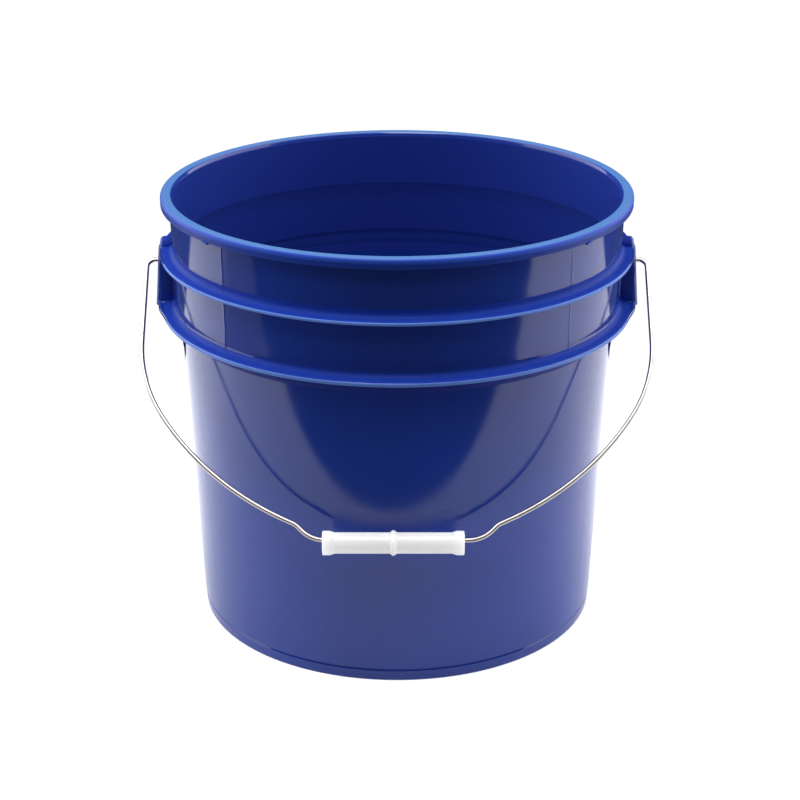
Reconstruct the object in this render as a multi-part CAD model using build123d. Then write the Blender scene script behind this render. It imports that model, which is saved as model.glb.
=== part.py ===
from build123d import *
from math import asin, cos, degrees, radians, sin
import os

# A wash bucket: a pail moulded in one piece, a steel wire bail and a loose plastic grip.
# Millimetres, +Z up. The origin is the middle of the foot, on the surface that it stands on.
# The two ears that hold the bail are on the X axis.
# At rest the bail hangs down in front of the pail, towards -Y.

# ---- Pail: foot, floor and wall ----
pail_height = 284.0
foot_radius = 131.1
foot_band_height = 8.7          # the foot band ends here, in a small step out to the wall
foot_band_step = 0.4
foot_thickness = 3.0
foot_edge_radius = 0.8
foot_inside_round = 1.0
foot_band_round = 0.3
wall_base_radius = 131.95       # outside of the wall, just above the foot band
wall_top_radius = 140.5         # outside of the wall, under the lower flange
wall_thickness = 2.2
floor_underside = 4.0
floor_thickness = 2.6
floor_corner_radius = 7.0

# ---- Pail: neck, flanges and rim ----
lower_flange_top = 209.0
lower_flange_thickness = 2.6
lower_flange_radius = 151.65
lower_root_radius = 4.3         # fillet where the neck rises from the lower flange
upper_flange_top = 246.1
upper_flange_thickness = 2.0
upper_flange_radius = 152.0
upper_root_radius = 3.5
under_root_radius = 1.5
flange_edge_radius = 0.7
neck_base_radius = 143.5        # outside of the neck, at the lower flange
neck_top_radius = 144.7         # outside of the neck, under the rim
neck_thickness = 2.3
neck_inside_step = 0.4          # the bore widens by this much above the upper flange
neck_step_height = 0.6
neck_step_rise = 1.5            # top of that step, above the upper flange's top
shelf_rise = 2.5                # top of the inner shelf, above the lower flange's top
shelf_top_round = 0.8
shelf_foot_round = 2.0
rim_radius = 150.3
rim_depth = 6.4                 # height of the rim's skirt
rim_skirt_thickness = 2.2
rim_top_thickness = 2.6
rim_outer_round = 2.2
mouth_radius = 143.55
mouth_depth = 3.0               # the mouth narrows to the neck's bore over this height
mouth_round = 2.2
mouth_foot_round = 1.0
skirt_edge_radius = 0.5

# ---- Pail: underside ----
gate_radius = 3.0               # moulding gate mark in the middle of the underside
gate_depth = 0.6
base_ring_radius = 62.0         # shallow stiffening ring under the floor
base_ring_width = 4.0
base_ring_depth = 1.0
base_rib_count = 8              # radial ribs between the ring and the foot
base_rib_thickness = 1.6
base_rib_depth = 2.4

# ---- Pail: ears ----
ear_half_width = 7.0
ear_base_reach = 156.4          # X of the ear's outer face at its foot
ear_top_reach = 153.3           # X of the ear's outer face at its top
ear_plate = 2.3                 # thickness of the outer plate
ear_web = 2.0                   # thickness of each side web
ear_deck = 2.2                  # thickness over the pocket
ear_corner_radius = 3.0
crown_radius = 6.6              # rounded crown of the ear, above the upper flange
crown_centre = 244.6            # Z of the crown's axis
crown_inner = 143.0             # X where it starts, inside the neck's wall
crown_reach = 152.6
crown_round = 3.0
gusset_offset = 33.0            # Y of the two slim gussets below the lower flange
gusset_height = 26.0
gusset_reach = 2.6              # how far each stands out from the wall at the flange
gusset_thickness = 1.2
pivot_height = 235.2            # Z of the bail's axis

# ---- Pail: lid stops on the rim's lower edge ----
stop_azimuths = (41.0, 139.0, 221.0, 319.0)
stop_root = 148.6               # inside the rim's skirt
stop_reach = 150.9
stop_width = 3.6
stop_drop = 1.0                 # how far it stands below the rim
stop_rise = 0.2                 # height of its outer edge above the rim's lower face
stop_slope = 0.8                # fall of its upper face from root to outer edge

# ---- Bail ----
wire_diameter = 3.0
pivot_clearance = 0.1           # radial, in the ear's hole
rest_angle = 42.2               # the bail hangs this far below level at rest
bail_reach = 194.4              # from the pivot axis to the run that carries the grip
grip_run_half = 43.0            # half of that straight run
crank_radius = 20.0             # bend beside the grip
crank_angle = 46.0
crank_straight = 3.4
knee_radius = 12.0              # bend back on to the sweep
knee_angle = 21.7
sweep_radius = 192.0            # long arc beside the grip
sweep_angle = 32.9
shoulder_radius = 98.0          # arc into the straight arms
arm_bend_radius = 5.0           # bend into the ear
hook_bend_radius = 2.5
hook_leg_x = 146.3              # X of the leg inside the ear
hook_leg_length = 4.4           # from the pivot axis to the leg's tip
wire_tip_round = 0.5

# ---- Grip ----
grip_length = 85.5
grip_centre_x = -2.2
grip_drop = 1.8                 # the wire lies this far from the middle of the bore
grip_bore = 7.0
grip_body_diameter = 12.8
grip_collar_diameter = 14.7
grip_collar_length = 4.6
grip_flare_length = 2.8
grip_ridge_diameter = 15.3
grip_ridge_half_width = 2.2
grip_ridge_crest = 0.5
grip_crest_round = 0.4
grip_ridge_foot_round = 1.2
grip_flare_round = 3.0
grip_edge_round = 0.6
grip_mouth_chamfer = 0.6

overlap = 1.0                   # how far joined solids run into each other, and cuts run past a face
wire_radius = wire_diameter / 2
lower_flange_bottom = lower_flange_top - lower_flange_thickness
upper_flange_bottom = upper_flange_top - upper_flange_thickness
rim_bottom = pail_height - rim_depth
floor_top = floor_underside + floor_thickness
bail_plane = Plane(
    origin=(0, 0, pivot_height),
    x_dir=(1, 0, 0),
    z_dir=(0, sin(radians(rest_angle)), -cos(radians(rest_angle))),
)


def rounded_face(corners):
    """Closed outline in the XZ plane from (x, z, corner radius), as a face."""
    outline = Polyline(*[(x, z) for x, z, _ in corners], close=True)
    face = make_face(outline)
    for x, z, radius in corners:
        if radius:
            corner = face.vertices().sort_by_distance((x, z, 0))[0]
            face = fillet(corner, radius)
    return Plane.XZ * face


def neck_outside(z):
    """Radius of the neck's outer face at height z."""
    share = (z - lower_flange_top) / (rim_bottom - lower_flange_top)
    return neck_base_radius + share * (neck_top_radius - neck_base_radius)


def wall_outside(z):
    """Radius of the tapered wall's outer face at height z."""
    share = (z - foot_band_height) / (lower_flange_bottom - foot_band_height)
    return wall_base_radius + share * (wall_top_radius - wall_base_radius)


def pail_section():
    """Half section of the pail: up the outside, over the rim, and down the inside."""
    groove_top = pail_height - rim_top_thickness
    skirt_inside = rim_radius - rim_skirt_thickness
    bore_top = neck_outside(pail_height - mouth_depth) - neck_thickness
    neck_step_top = upper_flange_top + neck_step_rise
    upper_bore = neck_outside(neck_step_top) - neck_thickness
    lower_bore = neck_base_radius - neck_thickness - neck_inside_step
    return rounded_face([
        (foot_radius - foot_thickness, 0, foot_edge_radius),
        (foot_radius, 0, foot_edge_radius),
        (wall_base_radius - foot_band_step, foot_band_height - foot_band_step, 0),
        (wall_base_radius, foot_band_height, foot_band_round),
        (wall_top_radius, lower_flange_bottom, under_root_radius),
        (lower_flange_radius, lower_flange_bottom, flange_edge_radius),
        (lower_flange_radius, lower_flange_top, flange_edge_radius),
        (neck_base_radius, lower_flange_top, lower_root_radius),
        (neck_outside(upper_flange_bottom), upper_flange_bottom, under_root_radius),
        (upper_flange_radius, upper_flange_bottom, flange_edge_radius),
        (upper_flange_radius, upper_flange_top, flange_edge_radius),
        (neck_outside(upper_flange_top), upper_flange_top, upper_root_radius),
        (neck_outside(groove_top), groove_top, skirt_edge_radius),
        (skirt_inside, groove_top, skirt_edge_radius),
        (skirt_inside, rim_bottom, skirt_edge_radius),
        (rim_radius, rim_bottom, skirt_edge_radius),
        (rim_radius, pail_height, rim_outer_round),
        (mouth_radius, pail_height, mouth_round),
        (bore_top, pail_height - mouth_depth, mouth_foot_round),
        (upper_bore, neck_step_top, 0),
        (upper_bore - neck_inside_step, neck_step_top - neck_step_height, 0),
        (lower_bore, lower_flange_top + shelf_rise, shelf_top_round),
        (wall_top_radius - wall_thickness, lower_flange_bottom, shelf_foot_round),
        (wall_outside(floor_top) - wall_thickness, floor_top, floor_corner_radius),
        (0, floor_top, 0),
        (0, floor_underside, 0),
        (foot_radius - foot_thickness, floor_underside, foot_inside_round),
    ])


def ear_block():
    """Solid ear on +X: a boss between the flanges, with its outer face leaning in."""
    inner = neck_base_radius - neck_thickness / 2
    side = Polyline(
        (inner, lower_flange_bottom),
        (ear_base_reach, lower_flange_bottom),
        (ear_top_reach, upper_flange_top),
        (inner, upper_flange_top),
        close=True,
    )
    block = extrude(Plane.XZ * make_face(side), ear_half_width, both=True)
    outer_face = block.faces().sort_by(Axis.X)[-1]
    long_edges = outer_face.edges().sort_by(SortBy.LENGTH)[-2:]
    return fillet(long_edges, ear_corner_radius)


def ear_crown():
    """Rounded crown of the ear on +X, which stands above the upper flange."""
    start = Plane(origin=(crown_inner, 0, crown_centre), z_dir=(1, 0, 0))
    crown = extrude(start * Circle(crown_radius), crown_reach - crown_inner)
    outer_edge = crown.faces().sort_by(Axis.X)[-1].edges()
    return fillet(outer_edge, crown_round)


def ear_pocket():
    """Space inside the ear on +X, open downwards, where the bail's hook turns."""
    lean = (ear_base_reach - ear_top_reach) / (upper_flange_top - lower_flange_bottom)
    roof = upper_flange_top - ear_deck
    open_end = lower_flange_bottom - overlap
    roof_reach = ear_top_reach + lean * ear_deck - ear_plate
    foot_reach = ear_base_reach + lean * overlap - ear_plate
    side = Polyline(
        (wall_top_radius - wall_thickness, open_end),
        (foot_reach, open_end),
        (roof_reach, roof),
        (wall_top_radius - wall_thickness, roof),
        close=True,
    )
    space = extrude(Plane.XZ * make_face(side), ear_half_width - ear_web, both=True)
    neck_core = Solid.make_cone(
        neck_outside(open_end), neck_outside(roof), roof - open_end,
        plane=Plane.XY.offset(open_end),
    )
    return space - neck_core


def pivot_hole():
    """Hole for the wire through the outer plate of the ear on +X."""
    at = Plane(origin=(ear_top_reach - ear_plate / 2, 0, pivot_height), z_dir=(1, 0, 0))
    return extrude(at * Circle(wire_radius + pivot_clearance), ear_plate + overlap, both=True)


def ear_gussets():
    """Two slim gussets under the lower flange, one each side of the ear on +X."""
    foot = lower_flange_bottom - gusset_height
    root = wall_outside(foot) - wall_thickness / 2
    top = lower_flange_bottom + overlap
    outline = Polyline(
        (root, foot),
        (wall_outside(foot), foot),
        (wall_top_radius + gusset_reach, lower_flange_bottom),
        (wall_top_radius + gusset_reach, top),
        (root, top),
        close=True,
    )
    blade = extrude(Plane.XZ * make_face(outline), gusset_thickness / 2, both=True)
    angle = degrees(asin(gusset_offset / wall_top_radius))
    return [Rot(Z=angle) * blade, Rot(Z=-angle) * blade]


def lid_stop(azimuth):
    """Small nub on the rim's lower edge that stops a lid from turning."""
    outline = Polyline(
        (stop_root, rim_bottom - stop_drop),
        (stop_reach, rim_bottom - stop_drop),
        (stop_reach, rim_bottom + stop_rise),
        (stop_root, rim_bottom + stop_rise + stop_slope),
        close=True,
    )
    nub = extrude(Plane.XZ * make_face(outline), stop_width / 2, both=True)
    return Rot(Z=azimuth) * nub


def base_details():
    """Stiffening ring and radial ribs that stand down from the floor's underside."""
    top = floor_underside + floor_thickness / 2
    ring_low = floor_underside - base_ring_depth
    ring = Pos(0, 0, ring_low) * extrude(
        Circle(base_ring_radius) - Circle(base_ring_radius - base_ring_width), top - ring_low
    )
    inner = base_ring_radius - base_ring_width / 2
    outer = foot_radius - foot_thickness / 2
    rib_low = floor_underside - base_rib_depth
    rib = Pos((inner + outer) / 2, 0, (rib_low + top) / 2) * Box(
        outer - inner, base_rib_thickness, top - rib_low
    )
    ribs = [Rot(Z=360 / base_rib_count * (turn + 0.5)) * rib for turn in range(base_rib_count)]
    return [ring] + ribs


def make_pail():
    """The whole moulding: turned section, ears, gussets, lid stops and underside details."""
    body = revolve(pail_section(), Axis.Z)
    other_side = Rot(Z=180)
    for turned in (Rot(), other_side):
        body += turned * ear_block()
        body += turned * ear_crown()
        for gusset in ear_gussets():
            body += turned * gusset
    for azimuth in stop_azimuths:
        body += lid_stop(azimuth)
    for detail in base_details():
        body += detail
    for turned in (Rot(), other_side):
        body -= turned * ear_pocket()
        body -= turned * pivot_hole()
    body -= Pos(0, 0, floor_underside) * extrude(Circle(gate_radius), gate_depth)
    return body


def arm_path():
    """One arm of the bail in its own plane, from the grip's run to the hook in the ear."""
    crank = JernArc((grip_run_half, bail_reach), (1, 0), crank_radius, -crank_angle)
    straight = Line(crank @ 1, crank @ 1 + crank_straight * (crank % 1))
    knee = JernArc(straight @ 1, straight % 1, knee_radius, knee_angle)
    sweep_arc = JernArc(knee @ 1, knee % 1, sweep_radius, -sweep_angle)
    left_to_turn = 90 - crank_angle + knee_angle - sweep_angle
    shoulder = JernArc(sweep_arc @ 1, sweep_arc % 1, shoulder_radius, -left_to_turn)
    arm = Line(shoulder @ 1, ((shoulder @ 1).X, arm_bend_radius))
    arm_bend = JernArc(arm @ 1, arm % 1, arm_bend_radius, -90)
    pivot_run = Line(arm_bend @ 1, (hook_leg_x + hook_bend_radius, 0))
    hook_bend = JernArc(pivot_run @ 1, pivot_run % 1, hook_bend_radius, -90)
    leg = Line(hook_bend @ 1, (hook_leg_x, hook_leg_length))
    return Wire([crank, straight, knee, sweep_arc, shoulder, arm, arm_bend, pivot_run, hook_bend, leg])


def make_bail():
    """Wire in one plane: X along the pivot, Y away from it, then turned to its rest angle."""
    right_arm = arm_path()
    left_arm = mirror(right_arm, about=Plane.YZ)
    run = Line((-grip_run_half, bail_reach), (grip_run_half, bail_reach))
    path = Wire(left_arm.edges() + [run] + right_arm.edges())
    section = Plane(origin=path @ 0, z_dir=path % 0) * Circle(wire_radius)
    wire = sweep(section, path=path)
    for end in (path @ 0, path @ 1):
        tip = wire.faces().sort_by_distance(end)[0]
        wire = fillet(tip.edges(), wire_tip_round)
    return bail_plane * wire


def make_grip():
    """Tube with a collar at each end and a ridge in the middle, along X."""
    half = grip_length / 2
    bore = grip_bore / 2
    collar = grip_collar_diameter / 2
    body = grip_body_diameter / 2
    ridge = grip_ridge_diameter / 2
    flare_start = half - grip_collar_length - grip_flare_length
    flare_end = half - grip_collar_length
    right = [
        (grip_ridge_crest, ridge, grip_crest_round),
        (grip_ridge_half_width, body, grip_ridge_foot_round),
        (flare_start, body, grip_flare_round),
        (flare_end, collar, grip_flare_round),
        (half, collar, grip_edge_round),
        (half, bore + grip_mouth_chamfer, 0),
        (half - grip_mouth_chamfer, bore, 0),
    ]
    left = [(-x, r, rounding) for x, r, rounding in reversed(right)]
    section = rounded_face(right + left)
    tube = revolve(section, Axis.X)
    at = bail_plane * Pos(grip_centre_x, bail_reach + grip_drop, 0)
    return at * tube


nodes = {
    "pail_body": make_pail(),
    "wire_bail": make_bail(),
    "hand_grip": make_grip(),
}
os.makedirs("parts", exist_ok=True)
for name, shape in nodes.items():
    export_step(shape, f"parts/{name}.step")
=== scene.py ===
"""Looks for the wash bucket: a moulded pail, a steel wire bail and a loose plastic grip.

The shapes are worked out in millimetres, in the part's own frame: +Z up, the ears on the X axis,
and the origin in the middle of the foot. They are scaled to metres when a mesh is made.
"""

from math import ceil, cos, degrees, hypot, pi, radians, sin

import bmesh
import bpy
import numpy as np
from mathutils import Matrix, Vector


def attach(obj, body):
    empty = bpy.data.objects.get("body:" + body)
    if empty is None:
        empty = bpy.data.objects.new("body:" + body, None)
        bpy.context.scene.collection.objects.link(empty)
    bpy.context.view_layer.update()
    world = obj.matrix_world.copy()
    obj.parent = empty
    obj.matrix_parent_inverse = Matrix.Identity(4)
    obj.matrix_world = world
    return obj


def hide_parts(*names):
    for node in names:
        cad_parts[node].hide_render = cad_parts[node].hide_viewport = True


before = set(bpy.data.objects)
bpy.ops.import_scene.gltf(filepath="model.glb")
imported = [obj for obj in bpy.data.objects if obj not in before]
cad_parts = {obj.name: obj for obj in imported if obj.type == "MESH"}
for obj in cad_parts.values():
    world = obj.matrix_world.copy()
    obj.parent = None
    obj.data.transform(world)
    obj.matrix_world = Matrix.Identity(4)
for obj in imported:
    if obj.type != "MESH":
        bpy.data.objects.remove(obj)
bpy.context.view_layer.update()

MM = 0.001

# ---- Pail: the section ----
PAIL_HEIGHT = 284.0
FOOT_RADIUS = 131.1
FOOT_BAND_HEIGHT = 8.7
FOOT_BAND_STEP = 0.4
FOOT_GROOVE_HEIGHT = 2.1
FOOT_GROOVE_DEPTH = 0.95
FOOT_GROOVE_DROP = 0.8             # from the wall's lower edge to the groove's deepest line
FOOT_THICKNESS = 3.0
WALL_BASE_RADIUS = 131.95
WALL_TOP_RADIUS = 140.5
WALL_THICKNESS = 2.2
FLOOR_UNDERSIDE = 4.0
FLOOR_TOP = 6.6
LOWER_FLANGE_BOTTOM = 206.4
LOWER_FLANGE_TOP = 209.0
LOWER_FLANGE_RADIUS = 151.65
UPPER_FLANGE_BOTTOM = 244.1
UPPER_FLANGE_TOP = 246.1
UPPER_FLANGE_RADIUS = 152.0
NECK_BASE_RADIUS = 143.5
NECK_TOP_RADIUS = 144.7
NECK_THICKNESS = 2.3
NECK_INSIDE_STEP = 0.4
NECK_STEP_TOP = 247.6
NECK_STEP_HEIGHT = 6.0
SHELF_TOP = 211.5
RIM_RADIUS = 150.3
RIM_BOTTOM = 277.6
RIM_SKIRT_INSIDE = 148.1
RIM_GROOVE_TOP = 281.4
MOUTH_RADIUS = 143.55
MOUTH_DEPTH = 3.0
BASE_RING = (58.0, 62.0, 3.0)      # inner and outer radius, and height, of the ring under the floor
BASE_RIB_COUNT = 8
BASE_RIB_THICKNESS = 1.6
BASE_RIB_BOTTOM = 1.6
GATE_RADIUS = 3.0
GATE_DEPTH = 0.6

# ---- Pail: radii of the section's rounded corners ----
GATE_EDGE = 0.15
RING_EDGE = 0.3
FOOT_INSIDE_CORNER = 1.0
FOOT_EDGE = 0.8
GROOVE_FOOT = 0.5
GROOVE_BOTTOM = 0.4
GROOVE_LIP = 0.3
FLANGE_UNDER_ROOT = 1.5
FLANGE_UNDER_EDGE = 0.7
LOWER_FLANGE_EDGE = 1.1
LOWER_FLANGE_ROOT = 4.3
UPPER_FLANGE_EDGE = 1.0
UPPER_FLANGE_ROOT = 3.5
RIM_EDGE = 0.5
RIM_CREST = 2.2
MOUTH_ROUND = 2.2
BORE_TOP_CORNER = 1.0
NECK_STEP_CORNER = 20.0
SHELF_CORNER = 5.0
FLOOR_CORNER = 7.0

# ---- Pail: ears, gussets, lid stops and mould lines ----
EAR_AZIMUTHS = (0.0, 180.0)
EAR_HALF_WIDTH = 7.0
EAR_BASE_REACH = 156.4
EAR_TOP_REACH = 153.3
EAR_CORNER = 3.0
EAR_ROOT = 1.4                     # concave fillet from the ear's side to the neck
EAR_FOOT_FILLET = 0.8              # fillet from the ear's side to the lower flange
EAR_WINDOW = 7.0                   # degrees each side of an ear with closer columns
EAR_COLUMNS = 110
EAR_SAMPLES = 6001                 # fine angles that the columns are picked from
EAR_PLATE = 2.3
EAR_LOWER_ROWS = 4.0               # rows this far below the upper flange's middle follow the lower one
EAR_SEARCH = (2.0, 3.0, 40)        # room inside the neck and past the ear, and number of halvings
FLARE_START = 4.0                  # degrees from an ear's middle
FLARE_END = 15.0
FLARE_REACH = 3.0
EAR_WEB = 2.0
EAR_DECK = 2.2
CROWN_RADIUS = 6.6                 # rounded crown of the ear, above the upper flange
CROWN_CENTRE = 244.6
CROWN_INNER = 143.0
CROWN_REACH = 152.6
CROWN_ROUND = 3.0
CROWN_SIDES = 72
CROWN_STEP = 10                    # degrees of turn between the rings of the crown's rounded end
PIVOT_HEIGHT = 235.2
PIVOT_HOLE_RADIUS = 1.6
GUSSET_OFFSET = 33.0
GUSSET_HEIGHT = 26.0
GUSSET_REACH = 2.6
GUSSET_THICKNESS = 1.2
STOP_AZIMUTHS = (41.0, 139.0, 221.0, 319.0)
STOP_ROOT = 148.6
STOP_REACH = 150.9
STOP_WIDTH = 3.6
STOP_DROP = 1.0
STOP_RISE = 0.2
STOP_SLOPE = 0.8
SEAM_AZIMUTHS = (44.0, 136.0, 224.0, 316.0)
SEAM_HALF_WIDTH = 0.75
SEAM_HEIGHT = 0.22
SEAM_START = 0.3                   # above the lower flange
SEAM_REACH = 2.5                   # rows further out than this from the neck have no seam
RIB_EDGE = 0.06                    # width of the steep edge of a narrow rib
RIB_SINK = 2.0                     # how far a base rib runs into the ring under the floor
TOOL_MARGIN = 1.0                  # how far a joined or cutting shape runs past the surface
POCKET_COLUMNS = 13
HOLE_SIDES = 40
HAIR = 1e-4                        # room for rounding where places are compared

# ---- Bail ----
WIRE_RADIUS = 1.5
REST_ANGLE = 42.2
BAIL_REACH = 194.4
# From the middle of the grip's run to the hook: length of a straight, or radius and turn of a bend.
BAIL_ROUTE = (
    (43.0, None), (20.0, -46.0), (3.4, None), (12.0, 21.7), (192.0, -32.9), (98.0, -32.8),
)
ARM_BEND = 5.0
HOOK_BEND = 2.5
HOOK_LEG_X = 146.3
HOOK_LEG_LENGTH = 4.4
WIRE_TIP_ROUND = 0.5
WIRE_SIDES = 28
WIRE_RUN_STEP = 4.0                # longest stretch between the wire's rings
WIDE_BEND = 50.0                   # a bend of a larger radius has the finer step, in degrees
WIDE_BEND_STEP = 1.2
TIGHT_BEND_STEP = 4.0
ARM_BEND_STEP = 6.0
HOOK_BEND_STEP = 9.0
TIP_ANGLES = (90, 67.5, 45, 22.5, 0)

# ---- Grip ----
GRIP_LENGTH = 85.5
GRIP_CENTRE_X = -2.2
GRIP_DROP = 1.8
GRIP_BORE_RADIUS = 3.5
GRIP_BODY_RADIUS = 6.4
GRIP_COLLAR_RADIUS = 7.35
GRIP_COLLAR_START = 7.4            # from the grip's end, where the collar begins to rise
GRIP_COLLAR_FULL = 4.6             # from the grip's end, where it has its full radius
GRIP_RIDGE_RADIUS = 7.65
GRIP_RIDGE_TOP = 0.5               # half the width of the ridge's flat top
GRIP_RIDGE_FOOT = 2.2              # half the width of its foot
GRIP_BORE_BEVEL = 0.6
GRIP_RIDGE_EDGE = 0.4              # this and the next four are radii of rounded corners
GRIP_RIDGE_ROOT = 1.2
GRIP_COLLAR_CURVE = 3.0
GRIP_COLLAR_EDGE = 0.6
GRIP_BEVEL_EDGE = 0.15
GRIP_ARC_STEP = 8
GRIP_RUN_STEP = 5.0
GRIP_SIDES = 112

# ---- Colours ----
BLUE_DEEP = (0.0085, 0.0335, 0.257, 1)
BLUE_BRIGHT = (0.0100, 0.0390, 0.302, 1)
# BLUE_EDGE and BLUE_RIDGE: paler blues painted on the rim's crest and the flanges' edges, standing for
# light that comes through the thin plastic there
BLUE_EDGE = (0.060, 0.148, 0.370, 1)
BLUE_RIDGE = (0.105, 0.210, 0.620, 1)
# painted paler blue on the flanges' tops, standing for the light that falls on them from above
BLUE_LIT_TOP = (0.0130, 0.0470, 0.385, 1)
# painted paler blue on the upper part of the rim's face, standing for the light that falls on its rounding
# from above
BLUE_RIM = (0.024, 0.072, 0.460, 1)
# a copy of the blue, with more red, painted on the inner face of the neck for the light that falls in
# through the mouth
BLUE_INSIDE = (0.0150, 0.0370, 0.290, 1)
BLUE_SHADE = (0.002, 0.006, 0.050, 1)
BLUE_SCUFFED = (0.10, 0.17, 0.45, 1)
STEEL_BRIGHT = (0.54, 0.51, 0.49, 1)
STEEL_DULL = (0.45, 0.42, 0.40, 1)
WHITE_PALE = (0.97, 0.97, 0.98, 1)
WHITE_GREY = (0.93, 0.94, 0.95, 1)
PLAIN_WHITE = (1, 1, 1, 1)
CARD_BLACK = (0.012, 0.013, 0.016, 1)
CARD_GREY = (0.20, 0.20, 0.20, 1)

# ---- Zones of the blue plastic, in millimetres ----
ZONE_EDGE = 0.2                    # a zone reaches this far past the faces that bound it
FACE_MARGIN = 0.8                  # each side of the neck's outer face, at its top
INNER_MARGIN = 0.9                 # inside the mouth's radius
TOP_START = 0.3                    # a flange's top zone starts this far under its upper face
LOWER_TOP_HEIGHT = 4.5             # and ends this far over it, past the root's fillet
UPPER_TOP_HEIGHT = 5.5
TOP_EDGE = 0.7                     # it stops this far short of the flange's outer face
EDGE_DEPTH = 0.4                   # an edge zone is this deep in the flange's outer face
CREST_DEPTH = 0.45                 # the rim's palest zone is this deep
STOP_ZONE_HEIGHTS = (276.4, 277.5)
STOP_ZONE_RADII = (148.8, 151.2)
SHOULDER_START = 280.8             # lower end of the upper part of the rim's face, painted paler for the light that falls on its rounding
NECK_ZONE_DROP = 8.0               # the neck's inner zone starts this far under the lower flange
SHELF_ABOVE = (3.0, 1.0)           # the shelf's shade fades out between these, over the shelf's top
SHELF_BELOW = (-8.0, -5.0)         # and fades in between these
STEP_FADE = 12.0                   # the neck step's shade fades over this height
SCUFF_HEIGHTS = (30.0, 2.0)        # scuffs grow from the first height down to the second

# ---- Shares of shade, roughness and shine in the blue plastic's zones ----
SHELF_SHADE = 0.60
STEP_SHADE = (0.10, 0.48)          # at the foot of the fading height and just under the step
GLOSS_ROUGHNESS = (0.07, 0.12)
WORN_COLOUR = 0.12
WORN_ROUGHNESS = 0.20
DULL_ROUGHNESS = 0.38
SOFT_ROUGHNESS = 0.30
FULL_SHINE = 0.5
DULL_SHINE_LOSS = 0.42
SOFT_SHINE_LOSS = 0.35
SHELF_SHINE_LOSS = 0.15
PLASTIC_IOR = 1.5

# ---- Ranges of noise that the materials use, and the other materials' roughness ----
CLOUD_RANGE = (0.35, 0.65)
HAZE_RANGE = (0.3, 0.7)
SPOT_RANGE = (0.4, 0.7)
SCUFF_RANGE = (0.58, 0.75)
STEEL_ROUGHNESS = (0.28, 0.42)
WHITE_ROUGHNESS = (0.30, 0.42)

# ---- Stage, light and camera, in metres ----
FLOOR_REACH = 8.0
FLOOR_HEIGHT = -0.0002             # just under the foot
FLOOR_ROUGHNESS = 0.9
FLOOR_GLOW = 0.30
FLOOR_PALE = 0.88
# grey of the painted shade on the hidden card in front of the pail
FLOOR_SHADED = 0.50
SHADE_CENTRE_Y = -0.28              # the pale card in front of the pail is greyest at this place: painted shade of the floor, seen only in reflections
SHADE_SQUASH_X = 0.6
SHADE_START = 0.10
SHADE_END = 0.46
CARD_HEIGHT = 0.001                # of the dark and grey cards
PALE_CARD_HEIGHT = 0.0003
COVER_HEIGHT = 0.002
DARK_CARD = ((-6.0, -1.8), (6.0, 0.0))   # low and high corner, before it is moved and turned
DARK_CARD_EDGE_Y = -0.342
DARK_CARD_TURN = -3.0              # degrees
PALE_CARD = ((-0.80, -0.40), (0.80, 0.22))
GREY_CARD = ((-1.1, -0.345), (-0.56, -0.02))
BACK_CARD = ((-1.2, 0.42), (1.2, 1.5))
COVER_FRONT_Y = -0.30              # the covers leave the floor round the pail bare
COVER_SIDE_X = -0.45
COVER_BACK_Y = 0.38
FRONT_CURTAIN = (6.0, 5.0, -1.7)   # half width, height and place on the Y axis
BACK_CURTAIN = (1.2, 1.8, 1.5)
WORLD_STRENGTH = 2.45
SOFTBOX_PLACE = (-0.2, -0.75, 2.2)
SOFTBOX_TARGET = (0, -0.75, 0.0)
SOFTBOX_SIZE = (1.6, 0.7)
SOFTBOX_POWER = 27
CAMERA_DISTANCE = 1.1682
CAMERA_HEIGHT = 0.6116
CAMERA_DOWN = 22.097               # degrees below the horizon
CAMERA_LENS = 85.11                # millimetres
CAMERA_SENSOR = 36.0               # millimetres
CAMERA_SHIFT = 0.00375

# ---- Meshes ----
ARC_STEP = 12.0                    # degrees of turn between the rows of a rounded edge
STRAIGHT_TURN = 0.5                # degrees: a corner that turns less is left as a point
BASE_COLUMN_STEP = 0.9             # degrees between the pail's columns, away from details
RUN_STEP = 7.0                     # longest plain stretch between the pail's rows
PAIL_SHARP_ANGLE = 32.0            # degrees: an edge past it stays sharp
BAIL_SHARP_ANGLE = 50.0
GRIP_SHARP_ANGLE = 40.0
FACE_AREA_WEIGHT = 90              # how much more the large faces' normals count
MERGE_DISTANCE = 2e-7              # metres
SHORTEST_EDGE = 1e-7               # metres


# ---------------------------------------------------------------- outlines and rows

def rounded(corners, step=ARC_STEP):
    """Points of an open outline from (r, z, corner radius), with each corner as an arc."""
    points = [corners[0][:2]]
    for before, here, after in zip(corners, corners[1:], corners[2:]):
        corner, radius = Vector(here[:2]), here[2]
        to_before = (Vector(before[:2]) - corner).normalized()
        to_after = (Vector(after[:2]) - corner).normalized()
        turn = pi - to_before.angle(to_after)
        if not radius or turn < radians(STRAIGHT_TURN):
            points.append(tuple(corner))
            continue
        reach = radius * sin(turn / 2) / cos(turn / 2)
        start, end = corner + to_before * reach, corner + to_after * reach
        middle = corner + (to_before + to_after).normalized() * radius / cos(turn / 2)
        pieces = max(2, ceil(degrees(turn) / step))
        arm, side = start - middle, end - middle
        for k in range(pieces + 1):
            share = k / pieces
            mixed = arm * sin((1 - share) * turn) + side * sin(share * turn)
            points.append(tuple(middle + mixed / sin(turn)))
    points.append(corners[-1][:2])
    return points


def filled(points, longest=RUN_STEP):
    """The same outline with its long plain stretches divided."""
    out = [points[0]]
    for (r0, z0), (r1, z1) in zip(points, points[1:]):
        pieces = max(1, ceil(hypot(r1 - r0, z1 - z0) / longest))
        for k in range(1, pieces + 1):
            out.append((r0 + (r1 - r0) * k / pieces, z0 + (z1 - z0) * k / pieces))
    return out


def full_turn(count):
    """Evenly spaced angles, once round."""
    return [2 * pi * k / count for k in range(count)]


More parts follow.
